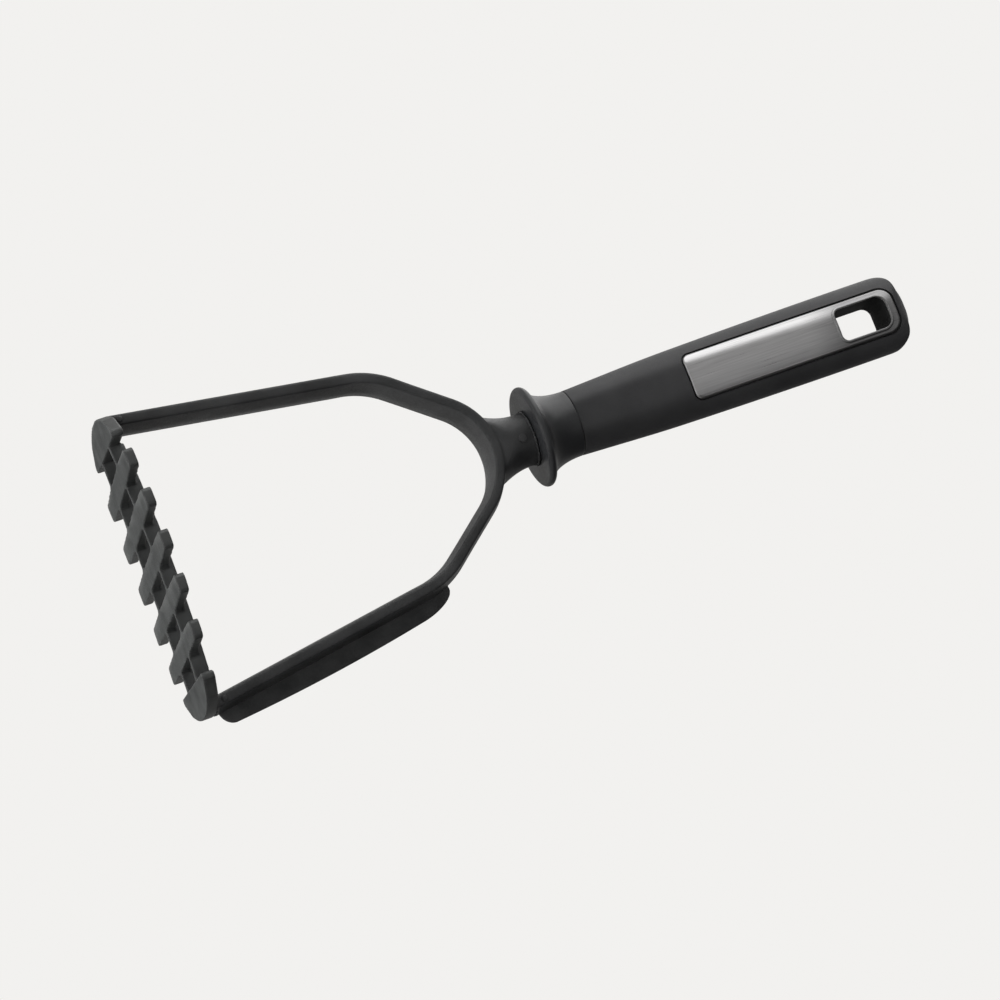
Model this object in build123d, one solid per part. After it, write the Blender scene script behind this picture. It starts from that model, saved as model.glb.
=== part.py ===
from build123d import *
from math import cos, radians, sin, sqrt, tan
import os

# Potato masher, in millimetres. It stands on the two end caps of its mashing plate.
# The sizes are measured from the handle's axis, and +Z runs up the handle. At the end
# every piece moves along X, so that the origin is the middle of the whole footprint.
# The front, with the steel inlay, faces -Y. The scraper blade is on the +X arm.

# Whole tool
overall_height = 293.0
overrun = 5.0

# Mashing plate: two bowed rails, leaning cross bars and two end caps
bar_count = 5
end_bar_gap = 11.7
bar_width = 7.3
bar_tip_width = 5.4
bar_lean_angle = 2.8
bar_height = 3.5
bar_tip_rounding = 2.0
tip_reach = 42.9
tip_arc_radius = 100.0
rail_reach = 17.2
rail_end_reach = 13.6
rail_thickness = 1.7
rail_height = 5.0
face_arch = 1.0
cap_width = 12.2
cap_setback = 0.3
cap_half_length = 28.8
cap_tip_width = 2.6
cap_height = 4.4
cap_shoulder_reach = 21.0
cap_shoulder_drop = 4.1
cap_shoulder_rounding = 6.0
cap_tip_rounding = 1.2
cap_edge_bevel = 0.5

# Yoke: a band that makes both arms and the crotch, with a round stem
foot_half_span = 55.9
arm_splay = 8.6
arm_thickness = 6.3
neck_thickness = 5.8
shoulder_height = 96.7
neck_slope = 38.4
crotch_radius = 21.5
shoulder_radius = 28.0
yoke_depth = 20.8
yoke_draft = 9.0
band_edge_depth = 1.6
band_edge_bevel = 1.2
band_lip = 0.8
stem_diameter = 19.2
stem_length = 11.5
stem_flare_radius = 16.0
stem_flare_angle = 45.0
foot_tenon_width = 2.6
foot_tenon_length = 12.0
foot_tenon_depth = 2.8
tenon_clearance = 0.1
tang_width = 12.0
tang_depth = 7.0
tang_length = 55.0
tang_clearance = 0.15
tang_rounding = 1.5

# Scraper blade, let into a groove in the outer edge of the +X arm
blade_reach = 6.5
blade_low_reach = 5.0
blade_high_reach = 5.0
blade_foot_gap = 1.2
blade_length = 91.4
blade_thickness = 2.0
blade_tongue = 1.6
blade_low_rounding = 4.0
blade_high_rounding = 5.6
blade_clearance = 0.05

# Bolster: the round flange and its hollow sweep up to the grip
bolster_height = 16.5
flange_diameter = 37.0
flange_thickness = 3.0
flange_rim_height = 1.4
flange_bevel = 0.9
flange_lip = 1.5
seam_gap = 0.2

# Grip, as an oval of four arcs that grows from the seam to the end
grip_half_width = 14.5
grip_half_depth = 11.5
section_join_angle = 35.0
grip_end_arc_radius = 21.0
grip_end_rounding = 7.5
grip_end_side_arc_radius = 60.0
grip_end_side_rounding = 8.0
grip_end_margin = 0.5
skin_thickness = 2.0

# Hanging hole, through the grip from front to back
hole_width = 12.0
hole_length = 20.2
hole_end_margin = 8.6
hole_near_rounding = 2.5
hole_far_rounding = 3.6
hole_lining = 1.5

# Steel inlay on the front of the grip
inlay_width = 17.2
inlay_length = 83.3
inlay_ring_width = 3.3
inlay_thickness = 0.9
inlay_gap = 0.2
inlay_near_rounding = 1.6
inlay_far_rounding = 4.8

# Sections of the grip, as shares of its length, half width and half depth
section_length_shares = (0.0, 0.1, 0.25, 0.4, 0.6, 0.8, 0.9, 1.0)
section_width_shares = (0.828, 0.871, 0.931, 0.96, 0.986, 1.0, 1.0, 0.993)
section_depth_shares = (1.035, 1.03, 1.02, 1.0, 0.97, 0.93, 0.91, 0.89)


def mirrored(solid):
    """The solid turned half a turn about the handle's axis."""
    return Rot(0, 0, 180) * solid


def bar_tip_y(x):
    """How far a bar at x reaches from the middle line: the tips lie on one arc."""
    centre = tip_reach - tip_arc_radius
    return centre + sqrt(tip_arc_radius**2 - x**2)


def bar_outline(x):
    """Plan of one bar: a strip that leans off square and narrows past the rails."""
    lean = tan(radians(bar_lean_angle))
    tip_y = bar_tip_y(x)
    root_y = rail_reach
    near_root = x - lean * root_y
    near_tip = x - lean * tip_y
    far_root = x + lean * root_y
    far_tip = x + lean * tip_y
    outline = Polyline(
        (near_tip - bar_tip_width / 2, -tip_y),
        (near_tip + bar_tip_width / 2, -tip_y),
        (near_root + bar_width / 2, -root_y),
        (far_root + bar_width / 2, root_y),
        (far_tip + bar_tip_width / 2, tip_y),
        (far_tip - bar_tip_width / 2, tip_y),
        (far_root - bar_width / 2, root_y),
        (near_root - bar_width / 2, -root_y),
        close=True,
    )
    face = make_face(outline)
    tips = face.vertices().filter_by(lambda v: abs(v.Y) > (root_y + tip_y) / 2)
    return fillet(tips, bar_tip_rounding)


def cap_outer_x():
    """Where a cap ends, a little inside the outer face of the arm that stands on it."""
    return arm_x(cap_height, 0) - cap_setback


def cap_inner_x():
    """Where the caps begin, on the side of the bars."""
    return cap_outer_x() - cap_width


def rail_outline(side):
    """Plan of one bowed rail, on the side of the sign given."""
    end_x = cap_inner_x() + cap_tip_width / 2
    inner_reach = rail_reach - rail_thickness
    inner_end = rail_end_reach - rail_thickness
    outer = ThreePointArc(
        (-end_x, side * rail_end_reach),
        (0, side * rail_reach),
        (end_x, side * rail_end_reach),
    )
    inner = ThreePointArc(
        (end_x, side * inner_end),
        (0, side * inner_reach),
        (-end_x, side * inner_end),
    )
    return make_face([outer, Line(outer @ 1, inner @ 0), inner, Line(inner @ 1, outer @ 0)])


def cap_outline():
    """Plan of the +X end cap: bowed round the arm's foot and drawn in to two tips."""
    inner_x = cap_inner_x()
    tip_x = inner_x + cap_tip_width
    shoulder_x = cap_outer_x() - cap_shoulder_drop
    bow = ThreePointArc(
        (shoulder_x, -cap_shoulder_reach),
        (cap_outer_x(), 0),
        (shoulder_x, cap_shoulder_reach),
    )
    sides = Polyline(
        (shoulder_x, cap_shoulder_reach),
        (tip_x, cap_half_length),
        (inner_x, cap_half_length),
        (inner_x, -cap_half_length),
        (tip_x, -cap_half_length),
        (shoulder_x, -cap_shoulder_reach),
    )
    face = make_face([bow, sides])
    shoulders = face.vertices().filter_by(lambda v: v.X > (tip_x + shoulder_x) / 2)
    face = fillet(shoulders, cap_shoulder_rounding)
    tips = face.vertices().filter_by(lambda v: abs(v.Y) > cap_half_length - cap_tip_rounding)
    return fillet(tips, cap_tip_rounding)


def end_cap():
    """The +X end cap, bevelled on top."""
    cap = extrude(cap_outline(), cap_height)
    rim = cap.faces().sort_by(Axis.Z)[-1].outer_wire().edges()
    return chamfer(rim, cap_edge_bevel)


def arched_band(height):
    """What lies between the arched mashing face and the same arch a height above it."""
    reach = cap_inner_x()
    low_arc = ThreePointArc((-reach, 0), (0, face_arch), (reach, 0))
    high_arc = ThreePointArc((reach, height), (0, face_arch + height), (-reach, height))
    ends = [Line(low_arc @ 1, high_arc @ 0), Line(high_arc @ 1, low_arc @ 0)]
    face = make_face([low_arc, high_arc] + ends)
    return extrude(Plane.XZ * face, tip_reach + overrun, both=True)


def rail_seats():
    """The flat ends of the rails' band, inside the caps."""
    seat_height = cap_height - cap_edge_bevel
    middle_x = cap_inner_x() + cap_tip_width / 4
    seat = Box(cap_tip_width / 2, 2 * rail_reach, seat_height)
    seat = Pos(middle_x, 0, seat_height / 2) * seat
    return seat + mirrored(seat)


def mashing_plate():
    """The grid of rails and bars, arched underneath, and the two flat end caps."""
    pitch = 2 * (cap_inner_x() - end_bar_gap) / (bar_count - 1)
    first = -(bar_count - 1) / 2 * pitch
    bars = [bar_outline(first + i * pitch) for i in range(bar_count)]
    rails = [rail_outline(side) for side in (-1, 1)]
    tall = rail_height + face_arch + overrun
    bar_stock = Part() + [extrude(bar, tall) for bar in bars]
    rail_stock = Part() + [extrude(rail, tall) for rail in rails]
    rail_band = arched_band(rail_height) + rail_seats()
    grid = (bar_stock & arched_band(bar_height)) + (rail_stock & rail_band)
    cap = end_cap()
    pocket = foot_tenon(tenon_clearance)
    return grid + cap + mirrored(cap) - pocket - mirrored(pocket)


def arm_x(height, inward):
    """Where an arm's face lies at a height, moved inward from the outer face."""
    slope = tan(radians(arm_splay))
    return foot_half_span - slope * height - inward / cos(radians(arm_splay))


def shoulder_point(inward):
    """Where the straight arm would meet the neck line, for a face moved inward."""
    arm_slope = tan(radians(arm_splay))
    neck = tan(radians(neck_slope))
    neck_inward = inward * neck_thickness / arm_thickness
    neck_x = arm_x(shoulder_height, 0) - neck_inward / cos(radians(neck_slope))
    rise = (arm_x(shoulder_height, inward) - neck_x) / (arm_slope - neck)
    return arm_x(shoulder_height + rise, inward), shoulder_height + rise


def crotch_peak(inward):
    """Height at which the two neck lines would meet on the middle plane."""
    x, z = shoulder_point(inward)
    return z + x / tan(radians(neck_slope))


def crotch_top():
    """Height of the inside of the crotch, under the stem."""
    return crotch_peak(arm_thickness) - crotch_radius * (1 / sin(radians(neck_slope)) - 1)


def flange_height():
    """Where the stem ends and the bolster's flange begins."""
    return crotch_top() + arm_thickness + stem_length


def seam_height():
    """Where the bolster ends and the grip begins."""
    return flange_height() + bolster_height


def band_edge(inward, base):
    """One edge of the band, from foot to foot, with its shoulders and crotch rounded."""
    x, z = shoulder_point(inward)
    foot_x = arm_x(base, inward)
    outside = arm_thickness - inward
    return FilletPolyline(
        (foot_x, base),
        (x, z),
        (0, crotch_peak(inward)),
        (-x, z),
        (-foot_x, base),
        radius=[shoulder_radius + outside, crotch_radius + outside, shoulder_radius + outside],
    )


def band_section(depth, inset):
    """The band's outline at a depth in front of the middle plane, thinned by the inset."""
    base = cap_height - overrun
    outer = band_edge(inset, base)
    inner = band_edge(arm_thickness - inset, base)
    outline = [outer, inner, Line(outer @ 0, inner @ 0), Line(outer @ 1, inner @ 1)]
    return Plane.XZ.offset(depth) * make_face(outline)


def band():
    """The arms and crotch: thickest on the middle plane, drafted and bevelled to both edges."""
    edge = yoke_depth / 2
    draft_end = edge - band_edge_depth
    draft_inset = draft_end * tan(radians(yoke_draft))
    sections = [
        band_section(0, 0),
        band_section(draft_end, draft_inset),
        band_section(edge, draft_inset + band_edge_bevel),
    ]
    front = loft(sections, ruled=True)
    solid = front + mirror(front, Plane.XZ)
    floor = Pos(0, 0, cap_height - overall_height / 2)
    return solid - floor * Box(overall_height, overall_height, overall_height)


def stem():
    """The round stem, flared where it grows out of the crotch."""
    radius = stem_diameter / 2
    angle = radians(stem_flare_angle)
    root = crotch_top() + arm_thickness / 2
    flare_end = (radius + stem_flare_radius * (1 - cos(angle)), root)
    flare_start = (radius, root + stem_flare_radius * sin(angle))
    top = flange_height()
    flare = TangentArc(flare_start, flare_end, tangent=(0, -1))
    outline = Polyline(flare_end, (0, root), (0, top), (radius, top), flare_start)
    solid = revolve(Plane.XZ * make_face([outline, flare]), Axis.Z)
    depth = yoke_depth - 2 * band_lip
    return solid & Pos(0, 0, root) * Box(overall_height, depth, overall_height)


def foot_tenon(clearance):
    """The tongue under the +X arm, or with a clearance the pocket that it fits."""
    middle_x = arm_x(cap_height, arm_thickness / 2)
    depth = foot_tenon_depth + clearance
    tongue = Box(foot_tenon_width + 2 * clearance, foot_tenon_length + 2 * clearance, 2 * depth)
    return Pos(middle_x, 0, cap_height) * tongue


def tang(clearance):
    """The flat tang on top of the stem, or with a clearance the socket for it."""
    outline = RectangleRounded(tang_width + 2 * clearance, tang_depth + 2 * clearance, tang_rounding)
    return Pos(0, 0, flange_height()) * extrude(outline, tang_length + clearance)


def yoke_frame():
    """Band, stem, tang and the two feet as one moulding, grooved for the blade."""
    foot = foot_tenon(0)
    solid = band() + stem() + tang(0) + foot + mirrored(foot)
    return solid - scraper_blade(blade_clearance)


def blade_point(height, outward):
    """A point out from the outer face of the +X arm, square to it."""
    x = arm_x(height, 0) + outward * cos(radians(arm_splay))
    return x, height + outward * sin(radians(arm_splay))


def scraper_blade(clearance):
    """The blade with its tongue, or with a clearance the groove for the tongue."""
    low_height = cap_height + blade_foot_gap
    high_height = low_height + blade_length
    middle = (low_height + high_height) / 2
    low_tongue = blade_point(low_height, -blade_tongue - clearance)
    high_tongue = blade_point(high_height, -blade_tongue - clearance)
    low = blade_point(low_height, blade_low_reach)
    high = blade_point(high_height, blade_high_reach)
    edge = ThreePointArc(low, blade_point(middle, blade_reach), high)
    face = make_face([edge, Polyline(high, high_tongue, low_tongue, low)])
    low_corner = face.vertices().sort_by_distance((*low, 0))[0]
    face = fillet(low_corner, blade_low_rounding)
    high_corner = face.vertices().sort_by_distance((*high, 0))[0]
    face = fillet(high_corner, blade_high_rounding)
    return extrude(Plane.XZ * face, blade_thickness / 2 + clearance, both=True)


def bolster():
    """The flange with its bevelled rim and the hollow sweep up to the seam."""
    rim = flange_diameter / 2
    base = flange_height()
    rim_low = base + (flange_thickness - flange_rim_height) / 2
    seam_radius = grip_half_width * section_width_shares[0]
    over = (rim - flange_lip, base + flange_thickness)
    seam = (seam_radius, seam_height())
    sweep = TangentArc(seam, over, tangent=(0, -1))
    sides = Polyline(
        seam,
        (0, seam_height()),
        (0, base),
        (rim - flange_bevel, base),
        (rim, rim_low),
        (rim, rim_low + flange_rim_height),
        over,
    )
    solid = revolve(Plane.XZ * make_face([sweep, sides]), Axis.Z)
    return solid - tang(tang_clearance)


def oval(half_width, half_depth, inset):
    """A face bounded by four tangent arcs, moved in by inset."""
    across = sin(radians(section_join_angle))
    along = cos(radians(section_join_angle))
    front_radius = half_width * along - half_depth * (1 - across)
    front_radius = front_radius / (across + along - 1)
    side_radius = (half_depth - front_radius * (1 - along)) / along - inset
    front_radius = front_radius - inset
    reach = half_width - inset
    depth = half_depth - inset
    join_x = front_radius * across
    join_y = side_radius * along
    arcs = [
        ThreePointArc((join_x, -join_y), (reach, 0), (join_x, join_y)),
        ThreePointArc((join_x, join_y), (0, depth), (-join_x, join_y)),
        ThreePointArc((-join_x, join_y), (-reach, 0), (-join_x, -join_y)),
        ThreePointArc((-join_x, -join_y), (0, -depth), (join_x, -join_y)),
    ]
    return make_face(arcs)


def grip_section(index, inset):
    """The oval of the grip at one of its sections, moved in by inset."""
    half_width = grip_half_width * section_width_shares[index]
    half_depth = grip_half_depth * section_depth_shares[index]
    length = overall_height - seam_height()
    height = seam_height() + length * section_length_shares[index]
    return Pos(0, 0, height) * oval(half_width, half_depth, inset)


def end_outline(half_width, arc_radius, rounding, inset):
    """A tall outline with a bowed top and rounded corners, for trimming the grip's end."""
    reach = half_width + grip_end_margin - inset
    top = overall_height - inset
    shoulder = top - arc_radius + sqrt(arc_radius**2 - reach**2)
    low = seam_height() - overrun
    bow = ThreePointArc((-reach, shoulder), (0, top), (reach, shoulder))
    sides = Polyline((reach, shoulder), (reach, low), (-reach, low), (-reach, shoulder))
    face = make_face([bow, sides])
    corners = face.vertices().filter_by(lambda v: v.Y > (low + shoulder) / 2)
    return fillet(corners, rounding - inset)


def trimmed(solid, inset):
    """A solid cut to the rounded end of the grip, moved in by inset."""
    front = end_outline(grip_half_width, grip_end_arc_radius, grip_end_rounding, inset)
    end_depth = grip_half_depth * section_depth_shares[-1]
    side = end_outline(end_depth, grip_end_side_arc_radius, grip_end_side_rounding, inset)
    solid = solid & extrude(Plane.XZ * front, overall_height, both=True)
    return solid & extrude(Plane.YZ * side, overall_height, both=True)


def grip_body(inset):
    """The grip's form as one solid, moved in from the outer surface by inset."""
    sections = [grip_section(i, inset) for i in range(len(section_length_shares))]
    return trimmed(loft(sections, ruled=True), inset)


def core_body():
    """The plain oval bar of the core, thin enough for the skin at the seam and at the end."""
    half_width = grip_half_width * min(section_width_shares)
    half_depth = grip_half_depth * min(section_depth_shares)
    outline = Pos(0, 0, seam_height()) * oval(half_width, half_depth, skin_thickness)
    return trimmed(extrude(outline, overall_height - seam_height()), skin_thickness)


def rounded_window(reach, near_z, far_z, near_rounding, far_rounding):
    """An upright outline with its own rounding at the near and at the far corners."""
    corners = ((-reach, near_z), (reach, near_z), (reach, far_z), (-reach, far_z))
    roundings = [near_rounding, near_rounding, far_rounding, far_rounding]
    return make_face(FilletPolyline(*corners, radius=roundings, close=True))


def hang_hole(lining):
    """The hanging hole right through the grip, or wider by the lining."""
    far_z = overall_height - hole_end_margin
    outline = rounded_window(
        hole_width / 2 + lining,
        far_z - hole_length - lining,
        far_z + lining,
        hole_near_rounding + lining,
        hole_far_rounding + lining,
    )
    return extrude(Plane.XZ * outline, overall_height, both=True)


def inlay_stock(gap):
    """The inlay's outline carried through the front half of the grip."""
    far_z = overall_height - hole_end_margin + inlay_ring_width
    outline = rounded_window(
        inlay_width / 2 + gap,
        far_z - inlay_length - gap,
        far_z + gap,
        inlay_near_rounding,
        inlay_far_rounding,
    )
    return extrude(Plane.XZ * outline, overall_height)


def handle_core():
    """The hard core: it holds the tang, and its pad carries the inlay."""
    pad = grip_body(inlay_thickness) & inlay_stock(0)
    return core_body() + pad - hang_hole(hole_lining) - tang(tang_clearance)


def grip_sleeve():
    """The soft skin round the core, with a window for the inlay."""
    seam = Pos(0, 0, seam_height()) * Box(overall_height, overall_height, 2 * seam_gap)
    outside = grip_body(0)
    lining = outside & (hang_hole(hole_lining) - hang_hole(0))
    skin = outside - core_body() - hang_hole(0) - seam
    return skin + lining - inlay_stock(inlay_gap)


def steel_inlay():
    """The curved steel plate, with the ring round the hanging hole."""
    plate = (grip_body(0) - grip_body(inlay_thickness)) & inlay_stock(0)
    return plate - hang_hole(0)


def footprint_middle():
    """How far the middle of the footprint lies from the handle's axis, for the blade's reach."""
    blade_x = scraper_blade(0).bounding_box().max.X
    return (blade_x - arm_x(cap_height, 0)) / 2


def main():
    os.makedirs("parts", exist_ok=True)
    pieces = {
        "mashing_plate": mashing_plate(),
        "yoke_frame": yoke_frame(),
        "scraper_blade": scraper_blade(0),
        "bolster": bolster(),
        "handle_core": handle_core(),
        "grip_sleeve": grip_sleeve(),
        "steel_inlay": steel_inlay(),
    }
    to_origin = Pos(-footprint_middle(), 0, 0)
    for name, piece in pieces.items():
        export_step(to_origin * piece, "parts/" + name + ".step")


main()
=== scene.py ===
import bmesh
import bpy
import numpy as np
from math import cos, pi, radians, sin, tan
from mathutils import Matrix, Vector


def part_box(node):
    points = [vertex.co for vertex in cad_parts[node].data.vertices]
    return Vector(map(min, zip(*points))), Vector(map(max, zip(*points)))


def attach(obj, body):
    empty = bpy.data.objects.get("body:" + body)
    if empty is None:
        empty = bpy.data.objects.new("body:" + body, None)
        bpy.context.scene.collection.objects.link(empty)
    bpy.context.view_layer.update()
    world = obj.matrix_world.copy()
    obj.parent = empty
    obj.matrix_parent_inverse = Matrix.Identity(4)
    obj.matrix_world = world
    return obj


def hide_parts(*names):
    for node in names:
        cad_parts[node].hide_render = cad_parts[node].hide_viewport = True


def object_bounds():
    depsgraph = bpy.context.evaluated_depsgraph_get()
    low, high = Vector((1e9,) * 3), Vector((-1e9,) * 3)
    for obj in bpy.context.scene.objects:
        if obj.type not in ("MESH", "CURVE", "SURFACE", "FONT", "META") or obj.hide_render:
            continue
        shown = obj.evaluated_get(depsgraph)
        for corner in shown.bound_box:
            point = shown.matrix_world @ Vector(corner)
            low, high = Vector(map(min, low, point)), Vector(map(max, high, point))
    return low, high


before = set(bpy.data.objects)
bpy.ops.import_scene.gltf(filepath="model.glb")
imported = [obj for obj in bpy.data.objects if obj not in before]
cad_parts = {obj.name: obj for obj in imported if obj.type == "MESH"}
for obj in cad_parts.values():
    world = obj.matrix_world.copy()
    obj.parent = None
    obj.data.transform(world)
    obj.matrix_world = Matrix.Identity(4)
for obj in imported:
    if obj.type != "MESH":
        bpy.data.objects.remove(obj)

# Potato masher. The handle's axis is vertical, and the front with the steel inlay faces -Y.
# Lengths in the pieces' dictionaries are millimetres. The meshes, the lamps, the camera and
# the places that a material reads are in metres.

cadLow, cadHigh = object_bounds()
mm = 0.001
flangeLow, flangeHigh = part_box("bolster")
axisX = (flangeLow[0] + flangeHigh[0]) / 2 / mm     # the handle's axis in the frame
print("stage: frame loaded")


# Mesh tools

mergeGap = 0.002     # points closer than this become one
hair = 0.02          # too small to see: the radius left at a pole before its face closes it


def toObject(name, points, faces):
    mesh = bpy.data.meshes.new(name)
    mesh.from_pydata((np.asarray(points) * mm).tolist(), [], faces)
    mesh.validate()
    piece = bpy.data.objects.new(name, mesh)
    bpy.context.scene.collection.objects.link(piece)
    return piece


def gridFaces(rows, columns, wrapRows):
    # the four corners of cell (i, j): the last column joins the first, and so does the last row
    # where the rows wrap
    i = np.arange(rows if wrapRows else rows - 1)
    i, j = [a.ravel() for a in np.meshgrid(i, np.arange(columns), indexing="ij")]
    nextI, nextJ = (i + 1) % rows, (j + 1) % columns
    corners = [i * columns + j, nextI * columns + j, nextI * columns + nextJ, i * columns + nextJ]
    return np.stack(corners, axis=1).tolist()


def gridObject(name, grid, wrapRows=False):
    # grid[i, j] is the point at row i and column j; open rows are closed by a face at each end
    rows, columns = grid.shape[:2]
    faces = gridFaces(rows, columns, wrapRows)
    if not wrapRows:
        faces.append(list(range(columns)))
        faces.append(list(range((rows - 1) * columns, rows * columns))[::-1])
    piece = toObject(name, grid.reshape(-1, 3), faces)
    outward(piece)
    return piece


def outward(piece):
    # merges doubled points and turns every face outwards
    bm = bmesh.new()
    bm.from_mesh(piece.data)
    bmesh.ops.remove_doubles(bm, verts=bm.verts, dist=mergeGap * mm)
    bmesh.ops.recalc_face_normals(bm, faces=bm.faces)
    bm.to_mesh(piece.data)
    bm.free()


def smoothShade(piece, sharpAngle):
    piece.data.polygons.foreach_set("use_smooth", [True] * len(piece.data.polygons))
    piece.data.set_sharp_from_angle(angle=radians(sharpAngle))


def bake(piece):
    # the piece's modifiers become its mesh
    shown = piece.evaluated_get(bpy.context.evaluated_depsgraph_get())
    mesh = bpy.data.meshes.new_from_object(shown)
    piece.modifiers.clear()
    piece.data = mesh


def cutWith(piece, cutter, operation="DIFFERENCE"):
    step = piece.modifiers.new("cut", "BOOLEAN")
    step.operation = operation
    step.solver = "EXACT"
    step.object = cutter
    bake(piece)
    bpy.data.objects.remove(cutter)


def joined(name, parts):
    # one object that holds the meshes of several
    bm = bmesh.new()
    for part in parts:
        bm.from_mesh(part.data)
        bpy.data.objects.remove(part)
    mesh = bpy.data.meshes.new(name)
    bm.to_mesh(mesh)
    bm.free()
    piece = bpy.data.objects.new(name, mesh)
    bpy.context.scene.collection.objects.link(piece)
    return piece


def moulded(piece, values):
    # melts overlapping solids into one skin, then eases every inner and outer corner
    step = piece.modifiers.new("skin", "REMESH")
    step.mode = "VOXEL"
    step.voxel_size = values["voxel"] * mm
    step.use_smooth_shade = True
    ease = piece.modifiers.new("ease", "SMOOTH")
    ease.factor = values["easeShare"]
    ease.iterations = values["easeRounds"]
    bake(piece)
    smoothShade(piece, values["sharpAngle"])


def revolved(name, radius, height, count):
    # each profile point (radius, height) turned round the handle's axis at count even angles
    turn = np.linspace(0, 2 * pi, count, endpoint=False)
    x = axisX + radius[:, None] * np.cos(turn)
    y = radius[:, None] * np.sin(turn)
    z = np.broadcast_to(height[:, None], x.shape)
    return gridObject(name, np.stack([x, y, z], axis=2))


def arcPoints(centre, radius, start, end, count):
    # centre plus radius times (cosine, sine) of angles from start to end, in degrees
    turn = np.radians(np.linspace(start, end, count))
    x = centre[0] + radius * np.cos(turn)
    return np.stack([x, centre[1] + radius * np.sin(turn)], axis=1)


def windowOutline(reach, nearZ, farZ, near, far, count):
    # an upright rectangle round the axis with a quarter arc at each corner, anticlockwise: near
    # is the radius of the two lower arcs and far that of the two upper ones
    return np.concatenate([
        arcPoints((reach - near, nearZ + near), near, -90, 0, count),
        arcPoints((reach - far, farZ - far), far, 0, 90, count),
        arcPoints((-reach + far, farZ - far), far, 90, 180, count),
        arcPoints((-reach + near, nearZ + near), near, 180, 270, count),
    ])


def outlinePrism(name, outlines, depths):
    # outline k, in x and z, set at depth y = depths[k]
    rows = [np.stack([axisX + o[:, 0], np.full(len(o), y), o[:, 1]], axis=1)
            for o, y in zip(outlines, depths)]
    return gridObject(name, np.stack(rows))


# Finishes

noiseRange = (0.3, 0.7)     # a noise stays mostly between these
noiseDetail = dict(patches=3.0, grain=4.0, wave=1.0, lines=2.0)


def addNode(tree, kind, **values):
    made = tree.nodes.new(kind)
    for key, value in values.items():
        if key in made.inputs:
            made.inputs[key].default_value = value
        else:
            setattr(made, key, value)
    return made


def feed(tree, socket, value):
    # a value is either another node's socket, which is linked, or a plain number
    if isinstance(value, bpy.types.NodeSocket):
        tree.links.new(value, socket)
    else:
        socket.default_value = value


def mathOf(tree, operation, first, second):
    made = addNode(tree, "ShaderNodeMath", operation=operation)
    feed(tree, made.inputs[0], first)
    feed(tree, made.inputs[1], second)
    return made.outputs[0]


def numberMix(tree, share, first, second):
    # a mix has several sockets of one name, so its sockets go by number
    made = addNode(tree, "ShaderNodeMix", data_type="FLOAT")
    for index, value in ((0, share), (2, first), (3, second)):
        feed(tree, made.inputs[index], value)
    return made.outputs[0]


def colourMix(tree, share, first, second):
    made = addNode(tree, "ShaderNodeMix", data_type="RGBA")
    for index, value in ((0, share), (6, (*first, 1)), (7, (*second, 1))):
        feed(tree, made.inputs[index], value)
    return made.outputs[2]


def shaderMix(tree, share, first, second):
    made = tree.nodes.new("ShaderNodeMixShader")
    for index, value in enumerate((share, first, second)):
        tree.links.new(value, made.inputs[index])
    return made.outputs[0]


def moved(tree, source, before, after, kind="LINEAR"):
    # carries the range before over to the range after, each a low and a high value
    made = addNode(tree, "ShaderNodeMapRange", interpolation_type=kind)
    tree.links.new(source, made.inputs["Value"])
    for socket, value in zip(("From Min", "From Max", "To Min", "To Max"), (*before, *after)):
        made.inputs[socket].default_value = value
    return made.outputs["Result"]


def noiseOf(tree, place, scale, detail):
    made = addNode(tree, "ShaderNodeTexNoise", Scale=scale, Detail=noiseDetail[detail])
    tree.links.new(place, made.inputs["Vector"])
    return made.outputs["Fac"]


def reliefOf(tree, height, depth, under=None):
    made = addNode(tree, "ShaderNodeBump", Strength=1.0, Distance=depth * mm)
    tree.links.new(height, made.inputs["Height"])
    if under:
        tree.links.new(under, made.inputs["Normal"])
    return made.outputs["Normal"]


def newMaterial(name):
    made = bpy.data.materials.new(name)
    made.use_nodes = True
    tree = made.node_tree
    shader = tree.nodes["Principled BSDF"]
    place = tree.nodes.new("ShaderNodeTexCoord").outputs["Object"]
    return made, tree, shader, place


def mouldedPlastic(name, look):
    # large patches tint it, a fine grain roughens it, and a slow wave under the grain bends light
    made, tree, shader, place = newMaterial(name)
    patches = moved(tree, noiseOf(tree, place, look["patchScale"], "patches"), noiseRange, (0, 1))
    grain = noiseOf(tree, place, look["grainScale"], "grain")
    wave = noiseOf(tree, place, look["waveScale"], "wave")
    tint = colourMix(tree, patches, look["darkColour"], look["lightColour"])
    swell = reliefOf(tree, wave, look["waveDepth"])
    tree.links.new(tint, shader.inputs["Base Color"])
    tree.links.new(moved(tree, grain, noiseRange, look["roughness"]), shader.inputs["Roughness"])
    tree.links.new(reliefOf(tree, grain, look["grainDepth"], swell), shader.inputs["Normal"])
    shader.inputs["Specular IOR Level"].default_value = look["gloss"]
    return made


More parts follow.
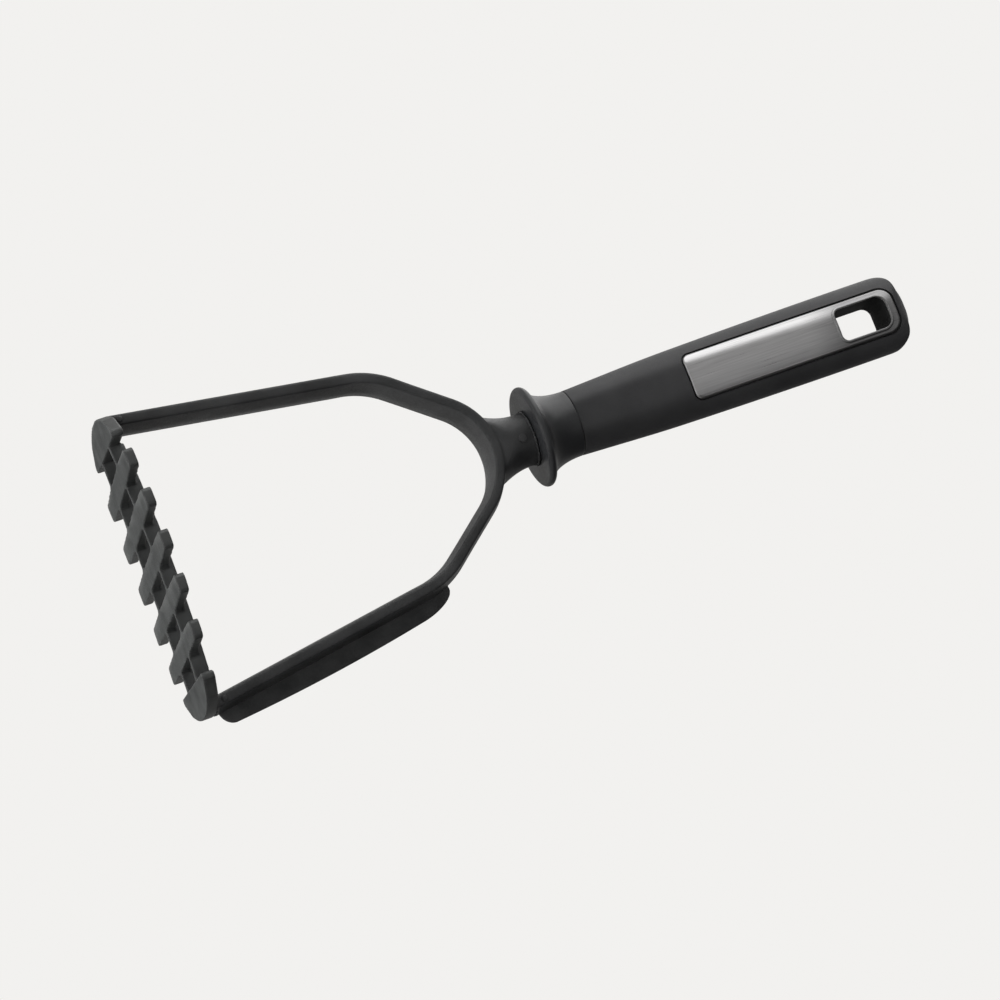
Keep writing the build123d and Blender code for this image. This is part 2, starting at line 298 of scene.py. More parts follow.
def brushedSteel(name, look):
    # the streak is the mean of two noises, stretched along the handle
    made, tree, shader, place = newMaterial(name)
    lines = []
    for across in look["lineScales"]:
        stretch = addNode(tree, "ShaderNodeMapping")
        stretch.inputs["Scale"].default_value = (across, across, look["alongScale"])
        tree.links.new(place, stretch.inputs["Vector"])
        lines.append(noiseOf(tree, stretch.outputs["Vector"], 1.0, "lines"))
    streak = mathOf(tree, "MULTIPLY", mathOf(tree, "ADD", *lines), 0.5)
    share = moved(tree, streak, noiseRange, (0, 1))
    tint = colourMix(tree, share, look["darkColour"], look["lightColour"])
    # painted shade: the steel's colour is full below the fade's heights and only a share above
    # them, so the far end, ring included, is darker
    height = tree.nodes.new("ShaderNodeSeparateXYZ")
    tree.links.new(place, height.inputs[0])
    fade = moved(tree, height.outputs["Z"], look["paintedShadeHeights"], (1, look["paintedShadeShare"]), "SMOOTHSTEP")
    paintedShadeTint = addNode(tree, "ShaderNodeVectorMath", operation="SCALE")
    tree.links.new(tint, paintedShadeTint.inputs[0])
    tree.links.new(fade, paintedShadeTint.inputs["Scale"])
    tree.links.new(paintedShadeTint.outputs[0], shader.inputs["Base Color"])
    tree.links.new(moved(tree, streak, noiseRange, look["roughness"]), shader.inputs["Roughness"])
    tree.links.new(reliefOf(tree, streak, look["lineDepth"]), shader.inputs["Normal"])
    shader.inputs["Metallic"].default_value = 1.0
    return made


plateLook = dict(
    darkColour=(0.017, 0.0180, 0.0178), lightColour=(0.040, 0.0418, 0.0412),
    roughness=(0.36, 0.52), gloss=0.50, patchScale=110,
    grainScale=2600, grainDepth=0.018, waveScale=260, waveDepth=0.10,
)
yokeLook = dict(
    darkColour=(0.0055, 0.0058, 0.0062), lightColour=(0.0260, 0.0266, 0.0275),
    roughness=(0.34, 0.60), gloss=0.45, patchScale=70,
    grainScale=2400, grainDepth=0.050, waveScale=150, waveDepth=0.26,
)
bladeLook = dict(
    darkColour=(0.011, 0.0115, 0.012), lightColour=(0.030, 0.0305, 0.031),
    roughness=(0.60, 0.76), gloss=0.35, patchScale=150,
    grainScale=1500, grainDepth=0.040, waveScale=200, waveDepth=0.08,
)
bolsterLook = dict(
    darkColour=(0.0066, 0.0070, 0.0080), lightColour=(0.0125, 0.0130, 0.0142),
    roughness=(0.30, 0.50), gloss=0.45, patchScale=90,
    grainScale=3000, grainDepth=0.018, waveScale=150, waveDepth=0.16,
)
gripLook = dict(
    darkColour=(0.0150, 0.0150, 0.0162), lightColour=(0.0265, 0.0265, 0.0278),
    roughness=(0.44, 0.66), gloss=0.36, patchScale=55,
    grainScale=3600, grainDepth=0.024, waveScale=90, waveDepth=0.20,
)
coreLook = dict(
    darkColour=(0.0035, 0.0035, 0.0038), lightColour=(0.0060, 0.0060, 0.0064),
    roughness=(0.66, 0.80), gloss=0.15, patchScale=60,
    grainScale=2600, grainDepth=0.015, waveScale=150, waveDepth=0.03,
)
steelLook = dict(
    darkColour=(0.33, 0.327, 0.330), lightColour=(0.46, 0.455, 0.457), roughness=(0.26, 0.38),
    lineScales=(5200, 1900), alongScale=45, lineDepth=0.010,
    # painted shade: above these heights the steel keeps only this share of its colour, darkening
    # the far end and the ring
    paintedShadeHeights=(0.250, 0.270), paintedShadeShare=0.54,     # heights in metres
)

finishes = {
    "mashing_plate": mouldedPlastic("platePlastic", plateLook),
    "yoke_frame": mouldedPlastic("yokePlastic", yokeLook),
    "scraper_blade": mouldedPlastic("bladeRubber", bladeLook),
    "bolster": mouldedPlastic("bolsterPlastic", bolsterLook),
    "grip_sleeve": mouldedPlastic("softGrip", gripLook),
    "handle_core": mouldedPlastic("corePlastic", coreLook),
    "steel_inlay": brushedSteel("inlaySteel", steelLook),
}
for node, material in finishes.items():
    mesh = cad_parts[node].data
    mesh.materials.clear()
    mesh.materials.append(material)


def fitted(piece, node, replace=True):
    # the piece takes its node's finish and rides with the rigid body, and it stands for the node
    # unless it only adds to it
    piece.data.materials.clear()
    piece.data.materials.append(finishes[node])
    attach(piece, "root")
    if replace:
        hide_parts(node)


print("stage: finishes")


# Grip: ovals of four arcs along the handle, bent in to a rounded end

grip = dict(
    seam=160.62, top=293.0, halfWidth=14.5, halfDepth=11.5, joinAngle=35,
    lengthShares=(0, 0.1, 0.25, 0.4, 0.6, 0.8, 0.9, 1.0),
    widthShares=(0.828, 0.871, 0.931, 0.96, 0.986, 1.0, 1.0, 0.993),
    depthShares=(1.035, 1.03, 1.02, 1.0, 0.97, 0.93, 0.91, 0.89),
    endArc=21.0, endRounding=7.5, endSideArc=60.0, endSideRounding=8.0, endMargin=0.5,
    leastReach=0.01, squareBelow=283.5, roundAbove=291.0, squarePower=30, roundPower=3.2,
    rows=150, endRows=46, columns=192, endHeight=15.0, lastShare=0.02,
    seamRounding=0.5, seamTurn=80, seamPoints=6,
    cutLift=3, cutThickness=4.0, cutMargin=2, cutBeyond=4, cutSlack=0.01, sharpAngle=35,
)


def throughShares(height, shares):
    # a cubic through the shares, with the slope at each taken from its neighbours
    knots = np.array(grip["lengthShares"])
    values = np.array(shares)
    slopes = np.gradient(values, knots)
    at = np.clip((height - grip["seam"]) / (grip["top"] - grip["seam"]), 0, 1)
    k = np.clip(np.searchsorted(knots, at, side="right") - 1, 0, len(knots) - 2)
    span = knots[k + 1] - knots[k]
    t = (at - knots[k]) / span
    rise = (2 * t**3 - 3 * t**2 + 1) * values[k] + (3 * t**2 - 2 * t**3) * values[k + 1]
    bend = (t**3 - 2 * t**2 + t) * slopes[k] + (t**3 - t**2) * slopes[k + 1]
    return rise + span * bend


def ovalRadii(height):
    # half width and depth, and the radii of the front and side arcs that join at one angle
    width = grip["halfWidth"] * throughShares(height, grip["widthShares"])
    depth = grip["halfDepth"] * throughShares(height, grip["depthShares"])
    across, along = sin(radians(grip["joinAngle"])), cos(radians(grip["joinAngle"]))
    front = (width * along - depth * (1 - across)) / (across + along - 1)
    side = (depth - front * (1 - along)) / along
    return width, depth, front, side


def endReach(height, reach, arc, rounding):
    # half width of a tall outline with a bowed top of one radius and corners of another
    bowCentre = grip["top"] - arc
    cornerX = reach - rounding
    cornerZ = bowCentre + np.sqrt((arc - rounding) ** 2 - cornerX**2)
    meetZ = bowCentre + (cornerZ - bowCentre) * arc / (arc - rounding)
    bow = np.sqrt(np.maximum(arc**2 - (height - bowCentre) ** 2, 0))
    corner = cornerX + np.sqrt(np.maximum(rounding**2 - (height - cornerZ) ** 2, 0))
    return np.where(height > meetZ, bow, np.where(height > cornerZ, corner, reach))


def endLimits(height):
    # how wide and how deep the rounded end lets the grip be at a height, and how square
    margin, least = grip["endMargin"], grip["leastReach"]
    endDepth = grip["halfDepth"] * grip["depthShares"][-1]
    wide = endReach(height, grip["halfWidth"] + margin, grip["endArc"], grip["endRounding"])
    deep = endReach(height, endDepth + margin, grip["endSideArc"], grip["endSideRounding"])
    heights = (grip["squareBelow"], grip["roundAbove"])
    power = np.interp(height, heights, (grip["squarePower"], grip["roundPower"]))
    return np.maximum(wide, least), np.maximum(deep, least), power


def limitShare(x, y, wide, deep, power):
    # the factor that keeps the point (x, y) inside an oblong of half sides wide and deep: the
    # lower the power, the rounder the oblong's corners
    gauge = (np.abs(x / wide) ** power + np.abs(y / deep) ** power) ** (1 / power)
    return (1 + gauge ** grip["squarePower"]) ** (-1 / grip["squarePower"])


def gripGrid(rows):
    # at each height, the oval's point whose outward normal has the given angle: the centre of
    # the arc that holds the normal, plus that arc's radius along it, then bent in at the end
    height = rows[:, None]
    turn = np.linspace(0, 2 * pi, grip["columns"], endpoint=False)[None, :]
    across, along = np.cos(turn), np.sin(turn)
    width, depth, front, side = ovalRadii(height)
    onSide = np.abs(across) > sin(radians(grip["joinAngle"]))
    x = np.where(onSide, np.sign(across) * (width - side) + side * across, front * across)
    y = np.where(onSide, side * along, np.sign(along) * (depth - front) + front * along)
    share = limitShare(x, y, *endLimits(height))
    z = np.broadcast_to(height, x.shape)
    return np.stack([axisX + x * share, y * share, z], axis=2)


def frontDepth(x, height):
    # how far the grip's front lies in front of the axis, at a place across and a height
    width, depth, front, side = ovalRadii(height)
    joinX = front * sin(radians(grip["joinAngle"]))
    middle = depth - front + np.sqrt(np.maximum(front**2 - x**2, 0))
    flank = np.sqrt(np.maximum(side**2 - (np.abs(x) - (width - side)) ** 2, 0))
    y = np.where(np.abs(x) < joinX, middle, flank)
    return y * limitShare(x, y, *endLimits(height))


hole = dict(
    halfWidth=6.0, nearZ=264.2, farZ=284.4, nearRounding=2.5, farRounding=3.6,
    mouthDepth=8.4, mouthRounding=1.1, mouthPoints=7,
    liningProud=0.1, liningDepth=0.4, liningRows=24, sharpAngle=40,
)
inlay = dict(
    halfWidth=8.6, nearZ=204.4, farZ=287.7, nearRounding=2.9, farRounding=4.8,
    gap=0.48, thickness=0.95, step=0.55, edgeRounding=0.9, edgePoints=8,
    borderRise=0.05, borderPower=4,
    lipWidth=1.1, lipRise=0.42, lipPower=0.7, lipStart=15, lipPoints=12, lipFoot=0.1,
    cornerPoints=14, sidePoints=44, rows=64, sharpAngle=50,
)


def outlineOf(values, offset):
    # the outline of the hole or of the inlay, moved out by an offset
    near, far = values["nearRounding"] + offset, values["farRounding"] + offset
    return windowOutline(values["halfWidth"] + offset, values["nearZ"] - offset,
                         values["farZ"] + offset, near, far, inlay["cornerPoints"])


def frontSlab(name, lift, thickness, margin):
    # a sheet that follows the grip's front, from lift above it down to the thickness below that
    reach = inlay["halfWidth"] + margin
    xs = np.arange(-reach, reach + grip["cutSlack"], inlay["step"])
    zs = np.arange(inlay["nearZ"] - margin, inlay["farZ"] + margin, inlay["step"])
    z, x = np.meshgrid(zs, xs, indexing="ij")
    depth = frontDepth(x, z) + lift
    top = np.stack([axisX + x, -depth, z], axis=2)
    bottom = np.stack([axisX + x, thickness - depth, z], axis=2)
    return gridObject(name, np.concatenate([top, bottom[:, ::-1]], axis=1))


def seamEdge(rim):
    # the seam's edge turns in on a small quarter round: the rim less the rounding times
    # (1 - cosine) towards the axis, and down by the rounding times the sine
    turn = np.radians(np.linspace(0, grip["seamTurn"], grip["seamPoints"]))[:, None, None]
    away = (rim - np.array([axisX, 0.0, 0.0])) * [1, 1, 0]
    away = away / np.linalg.norm(away, axis=2, keepdims=True)
    edge = rim - away * grip["seamRounding"] * (1 - np.cos(turn))
    return edge - np.array([0, 0, 1]) * grip["seamRounding"] * np.sin(turn)


def makeGrip():
    # even rows up the shank, and rows that crowd towards the top of the rounded end
    bodyTop = grip["top"] - grip["endHeight"]
    start = grip["seam"] + grip["seamRounding"]
    shank = np.linspace(start, bodyTop, grip["rows"], endpoint=False)
    share = np.linspace(1, grip["lastShare"], grip["endRows"])
    end = grip["top"] - grip["endHeight"] * share**2
    body = gripGrid(np.concatenate([shank, end]))
    piece = gridObject("gripSleeve", np.concatenate([seamEdge(body[0][None])[:0:-1], body]))
    # the window for the steel: a sheet along the front, trimmed to the steel's outline
    beyond = grip["cutBeyond"]
    reach = grip["halfDepth"] + beyond
    window = frontSlab("windowCut", grip["cutLift"], grip["cutThickness"], grip["cutMargin"])
    trim = [outlineOf(inlay, inlay["gap"])] * 2
    cutWith(window, outlinePrism("windowPrism", trim, [-reach - beyond, 0]), "INTERSECT")
    cutWith(piece, window)
    # the hole, which flares on a quarter round at its back mouth
    mouth = np.radians(np.linspace(0, 90, hole["mouthPoints"]))
    flare = hole["mouthRounding"] * (1 - np.cos(mouth))
    depth = hole["mouthDepth"] + hole["mouthRounding"] * np.sin(mouth)
    outlines = [outlineOf(hole, offset) for offset in (0, *flare, hole["mouthRounding"])]
    cutWith(piece, outlinePrism("holeCut", outlines, [-reach, *depth, reach + beyond]))
    smoothShade(piece, grip["sharpAngle"])
    fitted(piece, "grip_sleeve")


def filledOutline(outline):
    # the outline with even points on the straight side that follows each corner
    corners = outline.reshape(4, -1, 2)
    share = np.linspace(0, 1, inlay["sidePoints"] + 2)[1:-1, None]
    followers = np.roll(corners, -1, axis=0)
    sides = [a[-1] + (b[0] - a[-1]) * share for a, b in zip(corners, followers)]
    return np.concatenate([part for pair in zip(corners, sides) for part in pair])


def makeInlay():
    # rings from the outer edge over a quarter round, across the sheet, over the rolled lip and
    # down the hole: each ring is an outline and how far it lies under the grip's front
    edge, lip, thickness = inlay["edgeRounding"], inlay["lipWidth"] / 2, inlay["thickness"]
    rise, power = inlay["borderRise"], inlay["borderPower"]
    rings = [(outlineOf(inlay, 0), thickness)]
    for turn in np.radians(np.linspace(0, 90, inlay["edgePoints"])):
        rings.append((outlineOf(inlay, -edge * (1 - cos(turn))), edge * (1 - sin(turn)) - rise))
    border, brim = outlineOf(inlay, -edge), outlineOf(hole, 2 * lip)
    for share in np.linspace(0, 1, inlay["rows"])[1:]:
        rings.append((border + (brim - border) * share, -rise * (1 - share) ** power))
    for turn in np.radians(np.linspace(inlay["lipStart"], 180, inlay["lipPoints"]))[:-1]:
        drop = -inlay["lipRise"] * sin(turn) ** inlay["lipPower"]
        rings.append((outlineOf(hole, lip + lip * cos(turn)), drop))
    rings.append((outlineOf(hole, 0), inlay["lipFoot"]))
    rings.append((outlineOf(hole, 0), thickness))
    outlines = np.stack([filledOutline(outline) for outline, _ in rings])
    under = np.array([drop for _, drop in rings])[:, None]
    x, z = outlines[..., 0], outlines[..., 1]
    grid = np.stack([axisX + x, under - frontDepth(x, z), z], axis=2)
    piece = gridObject("steelInlay", grid, wrapRows=True)
    smoothShade(piece, inlay["sharpAngle"])
    fitted(piece, "steel_inlay")


def makeLining():
    # the core shows as the wall of the hole: a thin tube, open at both ends, from under the
    # steel to the back mouth. Its rings run along the inner side, then one lies at each end of
    # the outer side
    sides = ((-hole["liningProud"], np.linspace(0, 1, hole["liningRows"])),
             (hole["liningDepth"], (1, 0)))
    rings = []
    for offset, shares in sides:
        path = filledOutline(outlineOf(hole, offset))
        front = inlay["thickness"] - frontDepth(path[:, 0], path[:, 1])
        for share in shares:
            y = front + (hole["mouthDepth"] - front) * share
            rings.append(np.stack([axisX + path[:, 0], y, path[:, 1]], axis=1))
    piece = gridObject("coreLining", np.stack(rings), wrapRows=True)
    smoothShade(piece, hole["sharpAngle"])
    fitted(piece, "handle_core", replace=False)


makeGrip()
makeLining()
print("stage: grip")
makeInlay()
print("stage: inlay")


# Bolster: a flange with a round rim and a hollow sweep up to the grip

bolster = dict(
    base=144.12, rim=18.5, thickness=3.0, seamRadius=12.0, seam=160.6, faceInset=3.0,
    rimAngles=(-90, 70), rimPoints=18, sweepAngles=(4, 90), sweepPoints=40,
    seamRounding=0.45, cornerAngles=(10, 90), cornerPoints=5, columns=160, sharpAngle=40,
)


def makeBolster():
    # a profile of radius and height turned round the axis: the flat under face, the rim's arc,
    # the sweep, a small corner at the seam and the flat top
    half, base = bolster["thickness"] / 2, bolster["base"]
    rimCentre = (bolster["rim"] - half, base + half)
    under = arcPoints(rimCentre, half, *bolster["rimAngles"], bolster["rimPoints"])
    # the sweep starts level on the flange and ends upright at the seam: a quarter of an ellipse
    start = under[-1]
    turn = np.radians(np.linspace(*bolster["sweepAngles"], bolster["sweepPoints"]))
    endRadius = bolster["seamRadius"]
    endHeight = bolster["seam"] - bolster["seamRounding"]
    sweep = np.stack([endRadius + (start[0] - endRadius) * (1 - np.sin(turn)),
                      endHeight - (endHeight - start[1]) * np.cos(turn)], axis=1)
    cornerCentre = (endRadius - bolster["seamRounding"], endHeight)
    corner = arcPoints(cornerCentre, bolster["seamRounding"], *bolster["cornerAngles"],
                       bolster["cornerPoints"])
    inside = np.array([[hair, base], [bolster["faceInset"], base]])
    profile = np.concatenate([inside, under, sweep, corner, [[hair, bolster["seam"]]]])
    piece = revolved("bolsterCollar", profile[:, 0], profile[:, 1], bolster["columns"])
    smoothShade(piece, bolster["sharpAngle"])
    fitted(piece, "bolster")


makeBolster()
print("stage: bolster")


# Yoke: one band from foot to foot, thick in the middle and rounded at its edges, with a stem

yoke = dict(
    footHalfSpan=55.9, splay=8.6, footHeight=3.9, shoulderHeight=96.7, neckSlope=38.4,
    armThickness=6.3, neckThickness=5.8, neckBlend=12, halfDepth=10.4, draft=9.0, crest=2.5,
    edgeRound=0.7, edgePower=4, shoulderRadius=31.2, crotchRadius=24.6, step=0.6,
    leastArcSteps=4, sectionPoints=26,
    stemRadius=9.6, stemTop=144.2, stemDepth=9.9, stemPower=14, stemLift=0.9, stemFoot=0.8,
    flareRadius=16.0, flareAngle=45, flarePoints=24, stemColumns=96, bandRise=2.9,
    voxel=0.46, easeShare=0.5, easeRounds=1, sharpAngle=60,
)


def limited(value, limit, power):
    # value, bent over smoothly so that it stays under the limit; a higher power bends later
    return value / (1 + np.abs(value / limit) ** power) ** (1 / power)


def armX(height, inward):
    # x of the arm's outer face at a height, moved in square to it
    lean = radians(yoke["splay"])
    return yoke["footHalfSpan"] - tan(lean) * height - inward / cos(lean)


def roundedRoute(points, radii, step):
    # straight runs joined by arcs that touch both: places on the route and its square directions
    points = [np.array(p, float) for p in points]
    places, squares = [], []

    def run(a, b):
        count = max(int(np.linalg.norm(b - a) / step), 1)
        way = (b - a) / np.linalg.norm(b - a)
        places.append(a + (b - a) * np.linspace(0, 1, count, endpoint=False)[:, None])
        squares.append(np.tile([way[1], -way[0]], (count, 1)))

    last = points[0]
    for k, radius in enumerate(radii, start=1):
        before = (points[k] - points[k - 1]) / np.linalg.norm(points[k] - points[k - 1])
        after = (points[k + 1] - points[k]) / np.linalg.norm(points[k + 1] - points[k])
        turn = np.arccos(np.clip(before @ after, -1, 1))
        cut = radius * tan(turn / 2)
        side = np.sign(before[0] * after[1] - before[1] * after[0])
        square = np.array([before[1], -before[0]])
        start = points[k] - before * cut
        centre = start - square * side * radius
        run(last, start)
        count = max(int(radius * turn / step), yoke["leastArcSteps"])
        angles = side * np.linspace(0, turn, count, endpoint=False)[:, None]
        turned = np.hstack([square[0] * np.cos(angles) - square[1] * np.sin(angles),
                            square[0] * np.sin(angles) + square[1] * np.cos(angles)])
        places.append(centre + turned * side * radius)
        squares.append(turned)
        last = points[k] + after * cut
    run(last, points[-1])
    places.append(points[-1][None])
    squares.append(squares[-1][-1:])
    return np.concatenate(places), np.concatenate(squares)


def makeBand(foot, shoulder, peak):
    # a section of depth and half thickness carried along the route from foot to foot. The depth
    # swings from edge to edge, and the thickness falls away from the middle with the draft and
    # rounds to nothing at both edges
    mirror = [(-shoulder[0], shoulder[1]), (-foot[0], foot[1])]
    radii = [yoke["shoulderRadius"], yoke["crotchRadius"], yoke["shoulderRadius"]]
    places, squares = roundedRoute([foot, shoulder, peak, *mirror], radii, yoke["step"])
    swing = np.radians(np.linspace(-90, 90, yoke["sectionPoints"]))
    y = yoke["halfDepth"] * np.sin(swing)
    edge = (np.abs(y) - yoke["halfDepth"] + yoke["edgeRound"]) / yoke["edgeRound"]
    edge = np.clip(edge, 0, 1)
    blend, half = yoke["neckBlend"], yoke["armThickness"] / 2
    share = np.clip((places[:, 1:] - shoulder[1] + blend) / (2 * blend), 0, 1)
    thick = half + (yoke["neckThickness"] / 2 - half) * share
    crest = yoke["crest"]
    thick = thick - (np.sqrt(y**2 + crest**2) - crest) * tan(radians(yoke["draft"]))
    thick = thick * (1 - edge ** yoke["edgePower"]) ** (1 / yoke["edgePower"])
    out = places[:, None] + squares[:, None] * thick[..., None]
    back = places[:, None] - squares[:, None] * thick[..., None]
    flat = np.concatenate([out, back[:, -2:0:-1]], axis=1)
    depth = np.broadcast_to(np.concatenate([y, y[-2:0:-1]]), flat.shape[:2])
    return gridObject("band", np.stack([axisX + flat[..., 0], depth, flat[..., 1]], axis=2))


def makeStem(crotchTop):
    # a round profile, straight from the flange down, then flared on an arc into the crotch
    radius, reach, angle = yoke["stemRadius"], yoke["flareRadius"], yoke["flareAngle"]
    root = crotchTop + yoke["stemLift"]
    flareStart = root + reach * sin(radians(angle))
    centre = (radius + reach, flareStart)
    flare = arcPoints(centre, reach, 180, 180 + angle, yoke["flarePoints"])
    top, foot = yoke["stemTop"], root - yoke["stemFoot"]
    profile = np.concatenate([[[hair, top], [radius - hair, top]], flare,
                              [[flare[-1][0], foot], [hair, foot]]])
    turn = np.linspace(0, 2 * pi, yoke["stemColumns"], endpoint=False)
    x = axisX + profile[:, :1] * np.cos(turn)
    y = limited(profile[:, :1] * np.sin(turn), yoke["stemDepth"], yoke["stemPower"])
    # the flare's foot bends down with the crotch, whose arc falls by its radius less a root
    arc = yoke["crotchRadius"] + yoke["bandRise"]
    fall = arc - np.sqrt(arc**2 - (x - axisX) ** 2)
    z = profile[:, 1:] - fall * np.clip((flareStart - profile[:, 1:]) / (flareStart - root), 0, 1)
    return gridObject("stem", np.stack([x, y, z], axis=2))


def makeYoke():
    # the shoulder is where the middle lines of arm and neck meet, and the peak is where both
    # necks would meet without the crotch's arc
    half = yoke["armThickness"] / 2
    neckAngle = radians(yoke["neckSlope"])
    slope, neck = tan(radians(yoke["splay"])), tan(neckAngle)
    neckX = armX(yoke["shoulderHeight"], 0) - yoke["neckThickness"] / 2 / cos(neckAngle)
    rise = (armX(yoke["shoulderHeight"], half) - neckX) / (slope - neck)
    shoulder = (armX(yoke["shoulderHeight"] + rise, half), yoke["shoulderHeight"] + rise)
    peak = (0, shoulder[1] + shoulder[0] / neck)
    foot = (armX(yoke["footHeight"], half), yoke["footHeight"])
    crotchTop = peak[1] - yoke["crotchRadius"] * (1 / sin(neckAngle) - 1)
    piece = joined("yokeBand", [makeBand(foot, shoulder, peak), makeStem(crotchTop)])
    moulded(piece, yoke)
    fitted(piece, "yoke_frame")


marks = dict(
    bossRadius=1.15, bossRise=0.45, bossSink=0.8, bossHeight=7.6, bossColumns=40,
    domeRadii=(0.02, 0.5, 0.8, 0.95, 1.0, 1.0), domeDepths=(1.0, 0.98, 0.86, 0.6, 0.2),
    gatePlace=(0.56, 139.4), gateRadius=1.5, gateRise=0.08, gateSink=1.0,
    flashHeight=143.60, flashRadius=9.85, flashDepth=9.75, flashSize=0.40, flashRipple=0.26,
    rippleWaves=((9, 1.0, 1), (23, 0.7, 0), (41, 0.5, 2)),     # count, share and start
    flashColumns=300, flashPoints=10, sharpAngle=50,
)


def frontDome(x, y, height, radius, rise, sink):
    # a low round button that stands out of a front face: circles of a radius and a depth each
    radii = radius * np.array(marks["domeRadii"])[:, None]
    depths = np.array([*marks["domeDepths"], -sink / rise])[:, None] * rise
    turn = np.linspace(0, 2 * pi, marks["bossColumns"], endpoint=False)[None, :]
    ringX = axisX + x + radii * np.cos(turn)
    ringZ = height + radii * np.sin(turn)
    return gridObject("dome", np.stack([ringX, y - np.broadcast_to(depths, ringX.shape), ringZ],
                                       axis=2))


def makeFlash():
    # a thin ring round the stem at the flange, whose thickness ripples as a sum of sines
    around = np.linspace(0, 2 * pi, marks["flashColumns"], endpoint=False)[:, None]
    waves = marks["rippleWaves"]
    ripple = sum(share * np.sin(count * around + start) for count, share, start in waves)
    size = marks["flashSize"] + marks["flashRipple"] * ripple / sum(share for _, share, _ in waves)
    turn = np.linspace(0, 2 * pi, marks["flashPoints"], endpoint=False)[None, :]
    x = axisX + (marks["flashRadius"] + size * np.cos(turn)) * np.cos(around)
    y = (marks["flashDepth"] + size * np.cos(turn)) * np.sin(around)
    z = marks["flashHeight"] + size * np.sin(turn)
    return gridObject("flash", np.stack([x, y, z], axis=2), wrapRows=True)


def makeMarks():
    # the round buttons at both feet, the gate mark on the stem and the flash at the flange
    height = marks["bossHeight"]
    footX = armX(height, yoke["armThickness"] / 2)
    boss = (marks["bossRadius"], marks["bossRise"], marks["bossSink"])
    gate = (marks["gateRadius"], marks["gateRise"], marks["gateSink"])
    gateX, gateHeight = marks["gatePlace"]
    parts = [frontDome(x, -yoke["halfDepth"], height, *boss) for x in (-footX, footX)]
    parts.append(frontDome(gateX, -marks["flashRadius"], gateHeight, *gate))
    parts.append(makeFlash())
    piece = joined("yokeMarks", parts)
    smoothShade(piece, marks["sharpAngle"])
    fitted(piece, "yoke_frame", replace=False)


makeYoke()
makeMarks()
print("stage: yoke")


# Scraper blade: a thin fin along the +X arm that thins to its edge and is rounded at both ends

blade = dict(
    lowHeight=5.6, length=91.4, reach=6.5, endReach=5.0, lowRounding=4.5, highRounding=13.0,
    leastReach=0.05, tongue=1.6, rootThickness=2.0, edgeThickness=1.1,
    rows=220, acrossPoints=16, sharpAngle=50,
)


def makeBlade():
    # a flat section, from a tongue in the arm to a round edge, carried up the arm's outer face.
    # The rows crowd at both ends, evenly spaced by the cosine of their share
    s = np.linspace(0, 1, blade["rows"])
    ends = (1 - np.cos(pi * s)) / 2
    along = ends * blade["length"]
    # the reach bows from its end value to its full value, times a quarter of an ellipse at each end
    reach = blade["endReach"] + (blade["reach"] - blade["endReach"]) * (1 - (2 * ends - 1) ** 2)
    fromEnds = ((blade["lowRounding"], along), (blade["highRounding"], blade["length"] - along))
    for rounding, distance in fromEnds:
        inside = np.clip(1 - distance / rounding, 0, 1)
        reach = reach * np.sqrt(1 - inside**2)
    turn = np.radians(np.linspace(-90, 90, blade["acrossPoints"]))
    tip, half = blade["edgeThickness"] / 2, blade["rootThickness"] / 2
    outer = np.maximum(reach - tip, blade["leastReach"])[:, None] + tip * np.cos(turn)[None]
    thick = tip * np.sin(turn)[None] * np.ones_like(outer)
    root = np.full((len(s), 1), -blade["tongue"])
    flush = root * 0
    w = np.concatenate([root, flush, outer, flush, root], axis=1)
    t = np.concatenate([flush - half, flush - half, thick, flush + half, flush + half], axis=1)
    lean = radians(yoke["splay"])
    z0 = blade["lowHeight"] + along[:, None]
    x = axisX + armX(z0, 0) + w * cos(lean)
    z = z0 + w * sin(lean)
    piece = gridObject("scraperFin", np.stack([x, t, z], axis=2))
    smoothShade(piece, blade["sharpAngle"])
    fitted(piece, "scraper_blade")


makeBlade()
print("stage: blade")


# Mashing plate: the frame's own grid with full bar ends, fillets where bars meet rails, and
# every corner eased, as the moulding has it

plate = dict(
    reach=42.73, arch=1.0, barPlaces=(-31.03, -15.52, 0.0, 15.52, 31.03),
    barHalf=3.85, barTipHalf=3.35, barHeight=3.5, tipReach=42.85, tipArc=100.0, tipRounding=1.7,
    lean=2.8, railReach=17.2, railEndReach=13.6, railThickness=1.7, railTop=5.5, railFoot=0.05,
    filletRise=1.0, filletReach=2.2, barRows=240, railRows=200, mergeGap=0.001,
    voxel=0.40, easeShare=0.5, easeRounds=1, sharpAngle=60,
)


def archHeight(x):
    # the underside's height: a parabola that meets the caps at zero
    return plate["arch"] * np.clip(1 - (x / plate["reach"]) ** 2, 0, 1)


def railY(x):
    # how far out the rail's outer face lies: a parabola that comes in towards the caps
    bow = (x / plate["reach"]) ** 2
    return plate["railReach"] - (plate["railReach"] - plate["railEndReach"]) * bow


def makeBar(place):
    # a bar that leans: its middle line moves across by the lean's tangent times y, and its
    # underside follows the arch
    tip = plate["tipReach"] - plate["tipArc"] + np.sqrt(plate["tipArc"] ** 2 - place**2)
    y = -tip * np.cos(np.linspace(0, pi, plate["barRows"]))
    # half width: narrowing past the rails, a soft rise at each rail, a quarter round at the tips
    past = np.clip((np.abs(y) - plate["railReach"]) / (tip - plate["railReach"]), 0, 1)
    half = plate["barHalf"] + (plate["barTipHalf"] - plate["barHalf"]) * past
    beside = np.abs(np.abs(y) - railY(place) + plate["railThickness"] / 2)
    half = half + plate["filletRise"] * np.exp(-((beside / plate["filletReach"]) ** 2))
    rounding = plate["tipRounding"]
    inside = np.clip(rounding - (tip - np.abs(y)), 0, rounding)
    half = half - (rounding - np.sqrt(rounding**2 - inside**2))
    middle = place + tan(radians(plate["lean"])) * y
    left, right = middle - half, middle + half
    x = np.stack([left, right, right, left], axis=1)
    z = archHeight(x) + np.array([0, 0, plate["barHeight"], plate["barHeight"]])
    return gridObject("bar", np.stack([axisX + x, np.repeat(y[:, None], 4, axis=1), z], axis=2))


